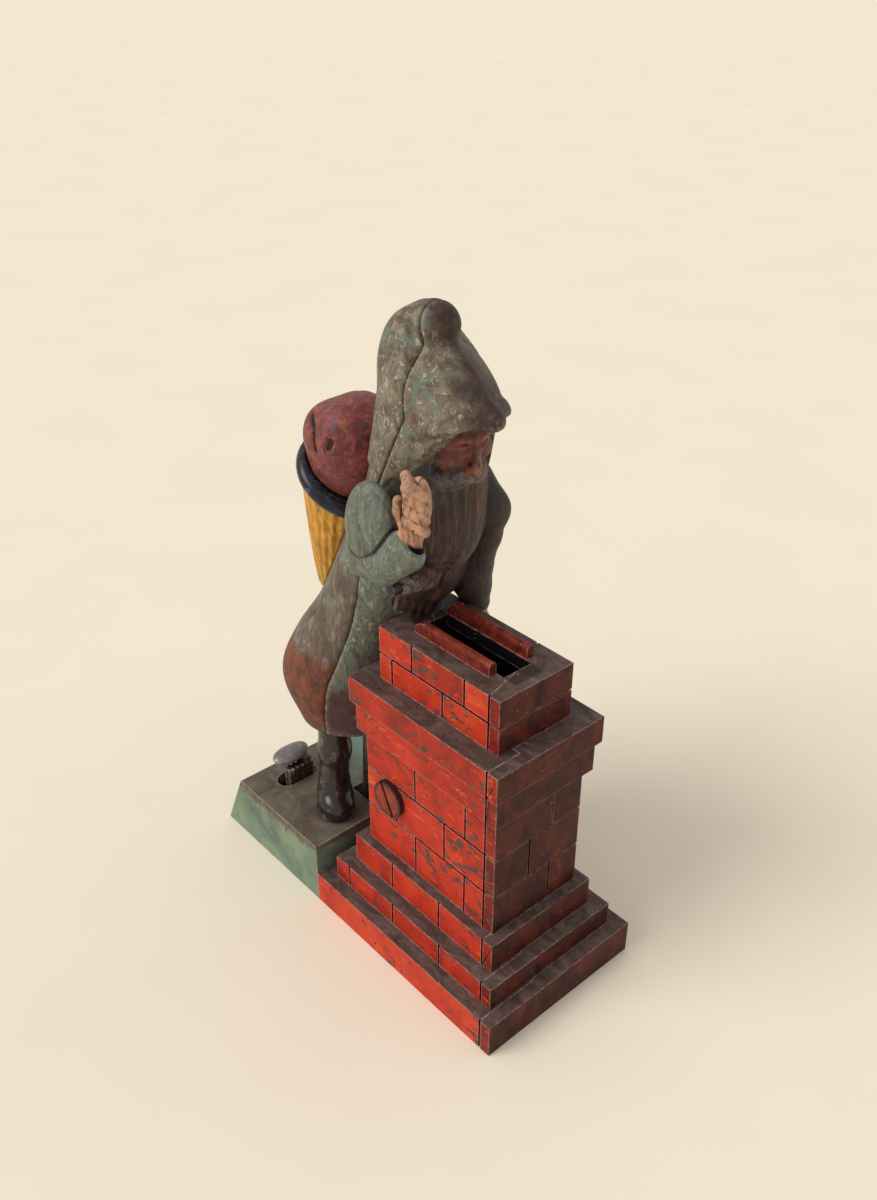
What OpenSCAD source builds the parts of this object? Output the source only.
// Mechanical coin bank: a hooded bearded figure with a pack leans over a brick chimney.
// Millimetres. Origin: centre of the footprint on the ground.
// +X runs along the base towards the chimney end, +Y to the figure's left, +Z up.

/* [Chimney] */
// Length of the plinth along X
plinth_len = 60.5; // [60:0.5:61]
// Width of the plinth and of the base block
base_w = 44.5; // [44:0.1:46]
// Wall thickness of the chimney and base castings
wall = 3; // [2.6:0.1:3.2]
// Height of the plinth
plinth_h = 8.5; // [8:0.5:9]
// Height of one row of bricks in the shaft, which has three
row_h = 10.5; // [10.3:0.1:10.6]
// Height of the cap above its two corbels
cap_h = 13; // [13:0.5:14]
// Length of the coin slot
slot_len = 25; // [22:0.5:26]
// Width of the coin slot
slot_w = 7.6; // [7:0.1:7.8]

/* [Base block] */
// Overall length of the bank
total_len = 101; // [100.5:0.1:101.5]
// Height of the block that the figure stands on
block_h = 17; // [16.8:0.1:17.2]
// How far the block's rear face leans in at the top
block_rake = 7.8; // [6:0.1:8]

/* [Mechanism] */
// Radius of the arm's axle
axle_r = 1.5; // [1.4:0.05:1.6]
// Running clearance of every pivot
run_gap = 0.06; // [0.05:0.01:0.08]
// Distance from the arm's axle to the crank pin
crank_len = 5; // [4.8:0.1:5.2]
// Half of the arm's swing, which the crank starts below level
crank_start = 25; // [24:1:26]
// Radius of the link rod's wire
wire_r = 1.1; // [1:0.05:1.2]

/* [Figure] */
// Thickness of the figure's cast shell
shell = 2.5; // [2.3:0.1:2.8]
// Distance of each boot from the middle plane
boot_y = 9.5; // [9:0.1:10]

/* [Hidden] */
$fn = 32;
eps = 0.01;

brick_red = [0.72, 0.2, 0.12];
brick_dark = [0.36, 0.17, 0.14];
sage = [0.36, 0.4, 0.34];
iron = [0.24, 0.24, 0.25];
steel = [0.55, 0.55, 0.56];
coat_grey = [0.42, 0.44, 0.38];
coat_brown = [0.4, 0.26, 0.18];

x_front = total_len / 2;
x_back = -total_len / 2;
plinth_x0 = x_front - plinth_len;
half_w = base_w / 2;

shaft_in = 9.5;
cap_in = 12;
// Chimney courses from the ground up: inset from the plinth's faces, height
COURSES = [
    [0, plinth_h],
    [3.5, 6],
    [7, 7.5],
    [shaft_in, 3 * row_h],
    [8, 7.5],
    [7, 6.5],
    [cap_in, cap_h]
];
SHAFT = 3;
CAP = 6;
// Height at which course n begins
function course_z(n) = n == 0 ? 0 : course_z(n - 1) + COURSES[n - 1][1];
cap_top = course_z(len(COURSES));
// Inset, bottom and top of each course
LEVELS = [for (n = [0 : CAP]) [COURSES[n][0], course_z(n), course_z(n + 1)]];
// The same for the cavity, which runs straight through the two corbels
CAVITY = [for (n = [0, 1, 2, SHAFT, CAP]) [COURSES[n][0] + wall,
    n == 0 ? -1 : course_z(n) - wall - eps, course_z(n == SHAFT ? CAP : n + 1) - wall]];
slot_x = 20.5;
// Height of the slot's lips above the flat top
lip_h = 3;
lip_y = 5;
// Floor plate under both castings
plate_z0 = 2;
plate_z1 = 4;

// Seam of the chimney's two castings across the flat top
TOP_SEAM = [
    [plinth_x0 + cap_in - 1, -half_w],
    [x_front - cap_in - wall, -half_w],
    [x_front - cap_in - wall, -half_w + cap_in],
    [slot_x + slot_len / 2, 0],
    [slot_x - slot_len / 2, 0],
    [5.6, 1.6],
    [5.2, 5.4],
    [plinth_x0 + cap_in, half_w - cap_in - wall],
    [plinth_x0 + cap_in - 1, half_w - cap_in - wall]
];

// Pivots, as X and Z
LEVER_PIVOT = [-34, 9.5];
LEVER_END = [-19, 7];
ARM_PIVOT = [8, 109];
CRANK_PIN = ARM_PIVOT - crank_len * [cos(crank_start), sin(crank_start)];
// The link rod's bends, as X and Z
ROD = [LEVER_END, [-17, 40], [-13, 64], [-3.5, 90], CRANK_PIN];
// Cranks and lever arms lie beside the rod, which is at Y = 0
side_y0 = 1.3;
// Half of the play along X in the rod's upper eye, which takes up the crank's arc
eye_slot = 0.55;
side_y1 = 3.3;
// Radius of the crank's hub and of the axle's collar
hub_r = 3;

// Stud that the forearm rests on, as X and Z
STOP_AT = [10.4, 94.3];
stop_r = 1.4;
stop_seat = -4;

chimney_screw_at = [7.8, 38.8];
trap_hole = [18, 0];
trap_pivot = [28, -13];
lever_y = -9.7;
LEG_SCREW_Y = [-4.5, 4.5];
base_screw_r = 1.2;
BASE_SCREWS = [[-43.5, -15], [-43.5, 15], [44, -15.5], [44, 15.5]];

// Figure sections: height, middle X, half depth, half width
BODY = [
    [45, -18.5, 13.5, 15.5],
    [56, -20.5, 16, 18],
    [66, -18, 14.5, 16],
    [78, -12, 12.5, 12.5],
    [99, -1, 12.5, 12],
    [113, 5.5, 12, 11.5],
    [131, 9.5, 12, 10.5],
    [139, 8, 10.5, 9],
    [145, 7, 7, 6],
    [149, 8.5, 2, 1.5]
];
// Slope of value c at section i, from its neighbours
function slope(i, c) = let (a = BODY[max(i - 1, 0)], b = BODY[min(i + 1, len(BODY) - 1)])
    (b[c] - a[c]) / (b[0] - a[0]);
// Number of the last section that is not above z
function below(z, i = 0) = i < len(BODY) - 2 && BODY[i + 1][0] <= z ? below(z, i + 1) : i;
// Value c of a smooth curve through the sections
function eased(z, c) = let (i = below(z), h = BODY[i + 1][0] - BODY[i][0], t = (z - BODY[i][0]) / h)
    BODY[i][c] * (1 + 2 * t) * pow(1 - t, 2) + BODY[i + 1][c] * t * t * (3 - 2 * t)
    + h * slope(i, c) * t * pow(1 - t, 2) + h * slope(i + 1, c) * t * t * (t - 1);
// The figure's section at height z, made smaller all round by t
function section(z, t = 0) = [z, eased(z, 1), eased(z, 2) - t, eased(z, 3) - t];
// Bottom and top of the figure and of the shell's cavity, which starts above the boots
body_z = [45, 149];
hollow_z = [57, 137];
section_step = 4;
HOLLOW = [for (z = [hollow_z[0] : section_step : hollow_z[1]]) section(z, shell)];
// Thickness of the coat's hem, and the top of the recess inside it for the boots' bridge
hem_wall = 1.5;
hem_top = 50.5;
hem_section = section(body_z[0] + 1, hem_wall);
HEM = [for (z = [body_z[0] - 1, hem_top]) [z, hem_section[1], hem_section[2], hem_section[3]]];
// Seam of the figure's two castings, as X and Z
SEAM = [[-15, 40], [-12, 60], [3, 110], [12, 130], [8, 150]];
ring_n = 28;
// Gap between the pack and the figure's back
pack_gap = 0.1;

// ---- Shared shapes ----

function ring(s) = [for (i = [0 : ring_n - 1])
    let (a = 360 * i / ring_n) [s[1] + s[2] * cos(a), s[3] * sin(a), s[0]]];

module loft(sections) {
    n = len(sections);
    points = [for (s = sections) each ring(s)];
    sides = [for (k = [0 : n - 2]) for (i = [0 : ring_n - 1])
        let (a = k * ring_n + i, b = k * ring_n + (i + 1) % ring_n)
        [a, a + ring_n, b + ring_n, b]];
    bottom = [[for (i = [0 : ring_n - 1]) i]];
    top = [[for (i = [0 : ring_n - 1]) n * ring_n - 1 - i]];
    polyhedron(points, concat(sides, bottom, top));
}

// A cylinder along Y at the XZ point p
module pin_y(p, r, y0, y1) {
    translate([p[0], y1, p[1]]) rotate([90, 0, 0]) cylinder(r = r, h = y1 - y0);
}

// A straight bar between the XZ points p and q
module bar_y(p, q, w, y0, y1) {
    d = q - p;
    translate([p[0], y0, p[1]]) rotate([0, -atan2(d[1], d[0]), 0])
        translate([0, 0, -w / 2]) cube([norm(d), y1 - y0, w]);
}

// A round wire between the XZ points p and q in the middle plane
module wire(p, q, r) {
    hull() for (e = [p, q]) translate([e[0], 0, e[1]]) sphere(r = r, $fn = 16);
}

// A ball flattened along Y
module pad(at, r, thick) {
    translate(at) scale([1, thick / r, 1]) sphere(r = r);
}

// A slotted round-head screw, head up, its head's underside at the origin
module screw(head_r, head_h, shank_r, length) {
    difference() {
        union() {
            cylinder(r = head_r, h = head_h);
            translate([0, 0, -length]) cylinder(r = shank_r, h = length);
        }
        translate([-head_r, -0.45, head_h * 0.5]) cube([2 * head_r, 0.9, head_h]);
    }
}

// ---- Chimney ----

module level_box(inset, z0, z1) {
    translate([plinth_x0 + inset, -half_w + inset, z0])
        cube([plinth_len - 2 * inset, base_w - 2 * inset, z1 - z0]);
}

module chimney_cavity() {
    for (c = CAVITY) level_box(c[0], c[1], c[2]);
}

// The part of one level that belongs to the right wall's casting: an L along the -Y and -X faces
module right_level(inset, z0, z1) {
    leg = 16 - inset;
    translate([plinth_x0 + inset, -half_w + inset, z0]) {
        cube([plinth_len - 2 * inset - wall, leg, z1 - z0]);
        cube([leg, base_w - 2 * inset - wall, z1 - z0]);
    }
}

module right_region() {
    for (l = LEVELS) right_level(l[0], l[1], l[2] == cap_top ? cap_top - wall : l[2]);
    translate([0, 0, cap_top - wall]) linear_extrude(wall) intersection() {
        polygon(TOP_SEAM);
        translate([plinth_x0 + cap_in, -half_w + cap_in]) square([60, 60]);
    }
}

module coin_slot() {
    translate([slot_x - slot_len / 2, -slot_w / 2, cap_top - wall - 1])
        cube([slot_len, slot_w, wall + 4]);
}

// An upright lip along X with a round top edge, its rear end a quarter round and its front end square
module slot_lip(x0, x1, y) {
    r = 1;
    translate([x0, y, cap_top - eps]) {
        translate([lip_h, -r, 0]) cube([x1 - x0 - lip_h, 2 * r, lip_h - r]);
        translate([lip_h, 0, lip_h - r]) rotate([0, 90, 0]) cylinder(r = r, h = x1 - x0 - lip_h);
        intersection() {
            translate([lip_h, r, 0]) rotate([90, 0, 0]) cylinder(r = lip_h, h = 2 * r);
            translate([0, -r, 0]) cube([lip_h + eps, 2 * r, lip_h]);
        }
    }
}

module chimney_right_wall() {
    color(brick_red) union() {
        difference() {
            right_region();
            chimney_cavity();
            coin_slot();
            plate_gap();
            screw_holes();
            pin_y(chimney_screw_at, 1.8, -half_w, 0);
        }
        slot_lip(8.5, 31, -lip_y);
    }
}

module chimney_left_wall() {
    color(brick_dark) union() {
        difference() {
            for (l = LEVELS) level_box(l[0], l[1], l[2]);
            right_region();
            chimney_cavity();
            coin_slot();
            plate_gap();
            screw_holes();
        }
        slot_lip(7.5, 31.5, lip_y);
        difference() {
            pin_y(chimney_screw_at, 3.6, 5, half_w - shaft_in - wall + eps);
            pin_y(chimney_screw_at, 1.5 + run_gap, 4, 9.4);
        }
    }
}

module chimney_screw() {
    color(steel) translate([chimney_screw_at[0], -half_w + shaft_in, chimney_screw_at[1]])
        rotate([90, 64, 0]) screw(4.5, 1.4, 1.5, 22);
}

// ---- Base ----

module block_profile(t) {
    rake = block_rake * (block_h - t) / block_h;
    polygon([[x_back + t, -eps], [plinth_x0 - t, -eps], [plinth_x0 - t, block_h - t],
        [x_back + t + rake, block_h - t]]);
}

module plate_gap() {
    translate([plinth_x0 - wall - 1, -half_w + wall, -1])
        cube([2 * wall + 2, base_w - 2 * wall, plate_z1 + 1]);
}

module base_block() {
    ear_y = [[-17.4, -14.2], [3.9, 7.1]];
    color(sage) difference() {
        union() {
            difference() {
                intersection() {
                    translate([0, half_w, 0]) rotate([90, 0, 0]) linear_extrude(base_w) block_profile(0);
                    translate([x_back, -half_w, 0]) cube([total_len, base_w, block_h]);
                }
                translate([0, half_w - wall, 0]) rotate([90, 0, 0])
                    linear_extrude(base_w - 2 * wall) block_profile(wall);
            }
            for (y = ear_y) translate([LEVER_PIVOT[0] - 2.8, y[0], LEVER_PIVOT[1] - 2.6])
                cube([5.6, y[1] - y[0], block_h - wall - LEVER_PIVOT[1] + 3]);
        }
        plate_gap();
        pin_y(LEVER_PIVOT, axle_r, -18, 8);
        // Slot for the thumb lever, long across the block with round ends
        for (y = [-3, 3]) translate([-35.2, lever_y + y, block_h - wall - 1])
            cylinder(r = 2.7, h = wall + 2);
        translate([-37.9, lever_y - 3, block_h - wall - 1]) cube([5.4, 6, wall + 2]);
        // Slot for the link rod
        translate([-21.5, -2.2, block_h - wall - 1]) cube([6, 4.4, wall + 2]);
        for (y = [-boot_y, boot_y]) translate([-19, y, 0]) cylinder(r = 1.7, h = block_h + 1);
        screw_holes();
    }
}

module screw_holes() {
    for (p = BASE_SCREWS) translate([p[0], p[1], plate_z0]) cylinder(r = base_screw_r + run_gap, h = 5);
}

module base_plate() {
    gap = 0.2;
    color(iron) difference() {
        translate([x_back + wall + 2, -half_w + wall + gap, plate_z0])
            cube([total_len - 2 * wall - 2 - gap, base_w - 2 * wall - 2 * gap, plate_z1 - plate_z0]);
        translate([trap_hole[0], trap_hole[1], 0]) cylinder(r = 8, h = 5);
        translate([trap_pivot[0], trap_pivot[1], 0]) cylinder(r = 1.25, h = 5);
        for (p = BASE_SCREWS) translate([p[0], p[1], 0]) cylinder(r = 1.3, h = 5);
    }
}

module base_screws() {
    color(steel) for (p = BASE_SCREWS) translate([p[0], p[1], plate_z0])
        rotate([180, 0, 0]) screw(2.2, 1.2, base_screw_r, 4.5);
}

module coin_trap() {
    color(iron) difference() {
        union() {
            translate([trap_hole[0], trap_hole[1], 0.8]) cylinder(r = 9, h = 1.1);
            translate([trap_pivot[0], trap_pivot[1], 0.8]) cylinder(r = 3, h = 1.1);
            translate([trap_pivot[0], trap_pivot[1], 0.8]) rotate([0, 0, 127.6])
                translate([0, -3, 0]) cube([16.4, 6, 1.1]);
        }
        translate([trap_pivot[0], trap_pivot[1], 0]) cylinder(r = 1.25 + run_gap, h = 3);
        // Finger notch
        translate([trap_hole[0] - 9, trap_hole[1] + 2, 0]) cylinder(r = 2, h = 3);
    }
}

module trap_screw() {
    color(steel) translate([trap_pivot[0], trap_pivot[1], 0.75]) rotate([180, 0, 0])
        screw(2.4, 0.65, 1.25, 5);
}

// ---- Lever and link ----

// A ball flattened along Z
module leaf(at, r, thick) {
    translate(at) scale([1, 1, thick / r]) sphere(r = r);
}

module thumb_lever() {
    stem_y = [-13.4, -8.4];
    color(iron) difference() {
        union() {
            pin_y(LEVER_PIVOT, 2.7, -14, side_y1);
            bar_y(LEVER_PIVOT, LEVER_END, 4, side_y0, side_y1);
            pin_y(LEVER_END, 2.2, side_y0, side_y1);
            // Rear arm over the return spring
            translate([-41.6, -2.2, LEVER_PIVOT[1] - 1]) cube([7.6, 4.4, 2]);
            // Stem up through the slot
            translate([-35.2, stem_y[0], LEVER_PIVOT[1]]) cube([2.4, stem_y[1] - stem_y[0], 10]);
            hull() {
                translate([-35.2, stem_y[0], 19]) cube([2.4, stem_y[1] - stem_y[0], 0.5]);
                leaf([-36.2, -11.4, 22.6], 2.2, 0.8);
            }
            // Thumb plate, long across the block
            hull() {
                leaf([-36.6, -12.6, 22.6], 2.4, 1);
                leaf([-36, -9.8, 23.4], 2.6, 1.2);
            }
            // Its end curls down to a ball
            hull() {
                leaf([-35.4, -8.6, 23], 1.4, 1.1);
                leaf([-34.2, -6.6, 19.4], 1.4, 1.4);
            }
        }
        pin_y(LEVER_PIVOT, axle_r + run_gap, -15, side_y1 + 1);
        pin_y(LEVER_END, 1.2, side_y0 - 1, side_y1 + 1);
    }
}

module lever_pin() {
    color(steel) pin_y(LEVER_PIVOT, axle_r, -17.4, 7.1);
}

module link_pin() {
    color(steel) union() {
        pin_y(LEVER_END, 1.2, -1.5, side_y1);
        pin_y(LEVER_END, 2, -2, -1.4);
    }
}

module lever_spring() {
    turns = 4;
    wire = 0.35;
    height = LEVER_PIVOT[1] - 1 - plate_z1;
    steps = 14;
    sides = 6;
    n = turns * steps;
    points = [for (k = [0 : n]) let (a = 360 * k / steps, z = plate_z1 + wire + (height - 2 * wire) * k / n)
        for (j = [0 : sides - 1]) let (b = 360 * j / sides)
        [-39.3 + (1.8 + wire * cos(b)) * cos(a), (1.8 + wire * cos(b)) * sin(a), z + wire * sin(b)]];
    faces = [for (k = [0 : n - 1]) for (j = [0 : sides - 1])
        let (a = k * sides + j, b = k * sides + (j + 1) % sides) [a, b, b + sides, a + sides]];
    ends = [[for (j = [0 : sides - 1]) sides - 1 - j], [for (j = [0 : sides - 1]) n * sides + j]];
    color(steel) polyhedron(points, concat(faces, ends));
}

module link_rod() {
    color(steel) difference() {
        union() {
            for (i = [0 : len(ROD) - 2]) wire(ROD[i], ROD[i + 1], wire_r);
            pin_y(LEVER_END, 2.4, -1, 1);
            for (x = [-eye_slot, eye_slot]) pin_y(CRANK_PIN + [x, 0], 2.4, -1, 1);
            translate([CRANK_PIN[0] - eye_slot, -1, CRANK_PIN[1] - 2.4]) cube([2 * eye_slot, 2, 4.8]);
        }
        pin_y(LEVER_END, 1.2 + run_gap, -3, 3);
        for (x = [-eye_slot, eye_slot]) pin_y(CRANK_PIN + [x, 0], 1.25, -3, 3);
        translate([CRANK_PIN[0] - eye_slot, -3, CRANK_PIN[1] - 1.25]) cube([2 * eye_slot, 6, 2.5]);
    }
}

// ---- Arm ----

module right_arm() {
    arm_y = -16.2;
    color(coat_grey) difference() {
        union() {
            // Upper sleeve
            hull() {
                pad([8.4, arm_y, 110.6], 6.6, 3.4);
                pad([7, arm_y, 104], 6, 3.4);
            }
            // Forearm's wide sleeve, from the elbow to the cuff
            hull() {
                pad([5.8, arm_y, 99.6], 5.4, 3.4);
                pad([18.6, -15.2, 108.6], 4.6, 2.8);
            }
            // Hand
            hull() {
                pad([19.4, -14, 112], 3.2, 2.4);
                pad([20.4, -13.6, 119.2], 4.2, 2.8);
            }
        }
        pin_y(ARM_PIVOT, axle_r, -18, -12);
    }
}

module arm_axle() {
    color(steel) pin_y(ARM_PIVOT, axle_r, -18, 11);
}

module axle_collar() {
    color(steel) difference() {
        pin_y(ARM_PIVOT, hub_r, -7.6, -5);
        pin_y(ARM_PIVOT, axle_r, -8, -4);
    }
}

module arm_crank() {
    color(steel) difference() {
        union() {
            pin_y(ARM_PIVOT, hub_r, side_y0, side_y1 + 3);
            bar_y(ARM_PIVOT, CRANK_PIN, 3.6, side_y0, side_y1);
            pin_y(CRANK_PIN, 2, side_y0, side_y1);
        }
        pin_y(ARM_PIVOT, axle_r, side_y0 - 1, side_y1 + 4);
        pin_y(CRANK_PIN, 1, side_y0 - 1, side_y1 + 1);
    }
}

module crank_pin() {
    color(steel) union() {
        pin_y(CRANK_PIN, 1, -1.4, side_y1);
        pin_y(CRANK_PIN, 1.9, -1.9, -1.3);
    }
}

module arm_stop() {
    color(iron) pin_y(STOP_AT, stop_r, -13.8, stop_seat);
}

// ---- Figure ----

module front_region() {
    translate([0, 40, 0]) rotate([90, 0, 0]) linear_extrude(80)
        polygon(concat(SEAM, [[60, 150], [60, 40]]));
}

// The figure's outer shape, larger all round by t
module body_shape(t = 0) {
    loft([for (z = [body_z[0] : section_step : body_z[1]]) section(z, -t)]);
}

module beard() {
    hull() {
        translate([15.2, 0, 117]) scale([0.6, 1, 1]) sphere(r = 7);
        translate([9.5, 0, 101]) scale([0.62, 1, 1]) sphere(r = 9);
        translate([5, 0, 86.4]) scale([1, 1.5, 0.6]) sphere(r = 5);
    }
}

// From the shoulder to the elbow, along the coat to the wrist, and the hand on the chimney
module left_arm() {
    elbow = [13.5, 13, 103];
    crook = [10.5, 13, 93];
    wrist = [9.5, 13.4, 78];
    hull() {
        pad([8, 11.5, 110], 5, 3.6);
        pad(elbow, 4, 3.4);
    }
    hull() {
        pad(elbow, 4, 3.4);
        pad(crook, 3.4, 3);
    }
    hull() {
        pad(crook, 3.4, 3);
        pad(wrist, 3, 2.6);
    }
    hull() {
        pad(wrist, 3, 2.6);
        pad([8.5, 13.4, 71.4], 2.8, 2.3);
    }
}

module rod_way() {
    translate([-16, 0, 40]) cylinder(r = 3.2, h = 18);
}

module figure_cuts() {
    loft(HOLLOW);
    loft(HEM);
    rod_way();
    pin_y(ARM_PIVOT, axle_r + run_gap, -15, 11.1);
    // Room for the axle's collar and the crank's hub
    pin_y(ARM_PIVOT, hub_r + 0.3, -8, 6.7);
}

module figure_front() {
    screw_boss = [7, 66];
    color(coat_grey) difference() {
        intersection() {
            front_region();
            union() {
                body_shape();
                beard();
                left_arm();
            }
        }
        difference() {
            figure_cuts();
            translate([-11, screw_boss[0], screw_boss[1]]) rotate([0, 90, 0]) cylinder(r = 3, h = 8);
        }
        translate([-12, screw_boss[0], screw_boss[1]]) rotate([0, 90, 0])
            cylinder(r = 1.25 + run_gap, h = 5.5);
        pin_y(STOP_AT, stop_r, -14, stop_seat);
    }
}

module figure_back() {
    screw_boss = [7, 66];
    color(coat_brown) difference() {
        difference() {
            body_shape();
            front_region();
        }
        difference() {
            figure_cuts();
            translate([-34, screw_boss[0], screw_boss[1]]) rotate([0, 90, 0]) cylinder(r = 3.6, h = 10);
        }
        translate([-36, screw_boss[0], screw_boss[1]]) rotate([0, 90, 0]) cylinder(r = 1.4, h = 22);
        translate([-40, screw_boss[0], screw_boss[1]]) rotate([0, 90, 0]) cylinder(r = 2.8, h = 12);
        for (y = LEG_SCREW_Y) translate([-21.5, y, 44]) cylinder(r = 1, h = 10);
        translate([-21, 0, 94]) rotate([0, 90, 0]) cylinder(r = 1.25, h = 8);
    }
}

module figure_screw() {
    color(steel) translate([-28, 7, 66]) rotate([0, -90, 0]) screw(2.7, 1.6, 1.25, 21);
}

// One boot and its leg, side is 1 or -1
module boot(side) {
    hull() {
        translate([-19, side * boot_y, block_h + 2.6]) scale([1, 1, 0.9]) sphere(r = 4);
        translate([-14.8, side * boot_y, block_h + 1.9]) sphere(r = 2.9);
        translate([-19.5, side * (boot_y + 3), block_h + 1.9]) sphere(r = 2.9);
    }
    hull() {
        translate([-19, side * boot_y, block_h + 3.2]) sphere(r = 3.7);
        translate([-17.4, side * boot_y, 46]) cylinder(r = 3.7, h = 1.5);
    }
}

module boots() {
    color([0.06, 0.06, 0.07]) difference() {
        union() {
            for (side = [-1, 1]) boot(side);
            translate([-24.5, -10.5, 47]) cube([11.5, 21, 3.2]);
        }
        translate([0, 0, block_h - 5]) mirror([0, 0, 1]) translate([-60, -60, -5]) cube([120, 120, 20]);
        for (y = [-boot_y, boot_y]) translate([-19, y, 0]) cylinder(r = 1.5, h = 28);
        for (y = LEG_SCREW_Y) translate([-21.5, y, 44]) cylinder(r = 1.2, h = 10);
        rod_way();
    }
}

module boot_screws() {
    color(steel) for (y = [-boot_y, boot_y]) translate([-19, y, block_h - wall])
        rotate([180, 0, 0]) screw(3, 1.6, 1.5, 13.5);
}

module leg_screws() {
    color(steel) for (y = LEG_SCREW_Y) translate([-21.5, y, 47]) rotate([180, 0, 0]) screw(2, 1.2, 1, 5.5);
}

// ---- Pack ----

// The pack leans with the figure's back
module on_pack() {
    translate([-27, 0, 74]) rotate([0, 13, 0]) children();
}

module pack_basket() {
    color([0.85, 0.6, 0.15]) difference() {
        on_pack() union() {
            cylinder(r1 = 3.6, r2 = 10.4, h = 32);
            translate([0, 0, 32]) rotate_extrude() translate([9.8, 0]) circle(r = 1.7);
        }
        on_pack() translate([0, 0, 12]) cylinder(r1 = 3.6, r2 = 8.4, h = 24);
        body_shape(pack_gap);
        translate([-36, 0, 94]) rotate([0, 90, 0]) cylinder(r = 1.5, h = 24);
        translate([-30, 0, 94]) rotate([0, 90, 0]) cylinder(r = 2.35, h = 10.25);
    }
}

module pack_toys() {
    color([0.6, 0.33, 0.32]) difference() {
        on_pack() hull() {
            translate([0, 0, 34]) cylinder(r = 8, h = 1);
            translate([2, 0, 37]) scale([1, 1, 0.8]) sphere(r = 9.6);
        }
        body_shape(pack_gap);
        on_pack() translate([0, 0, 20]) cylinder(r = 20, h = 13.8);
    }
}

module pack_screw() {
    color(steel) translate([-19.8, 0, 94]) rotate([0, -90, 0]) screw(2.2, 1.2, 1.25, 5.5);
}

chimney_right_wall();
chimney_left_wall();
chimney_screw();
base_block();
base_plate();
base_screws();
coin_trap();
trap_screw();
thumb_lever();
lever_pin();
lever_spring();
link_pin();
link_rod();
right_arm();
arm_axle();
axle_collar();
arm_crank();
crank_pin();
arm_stop();
figure_front();
figure_back();
figure_screw();
boots();
boot_screws();
leg_screws();
pack_basket();
pack_toys();
pack_screw();
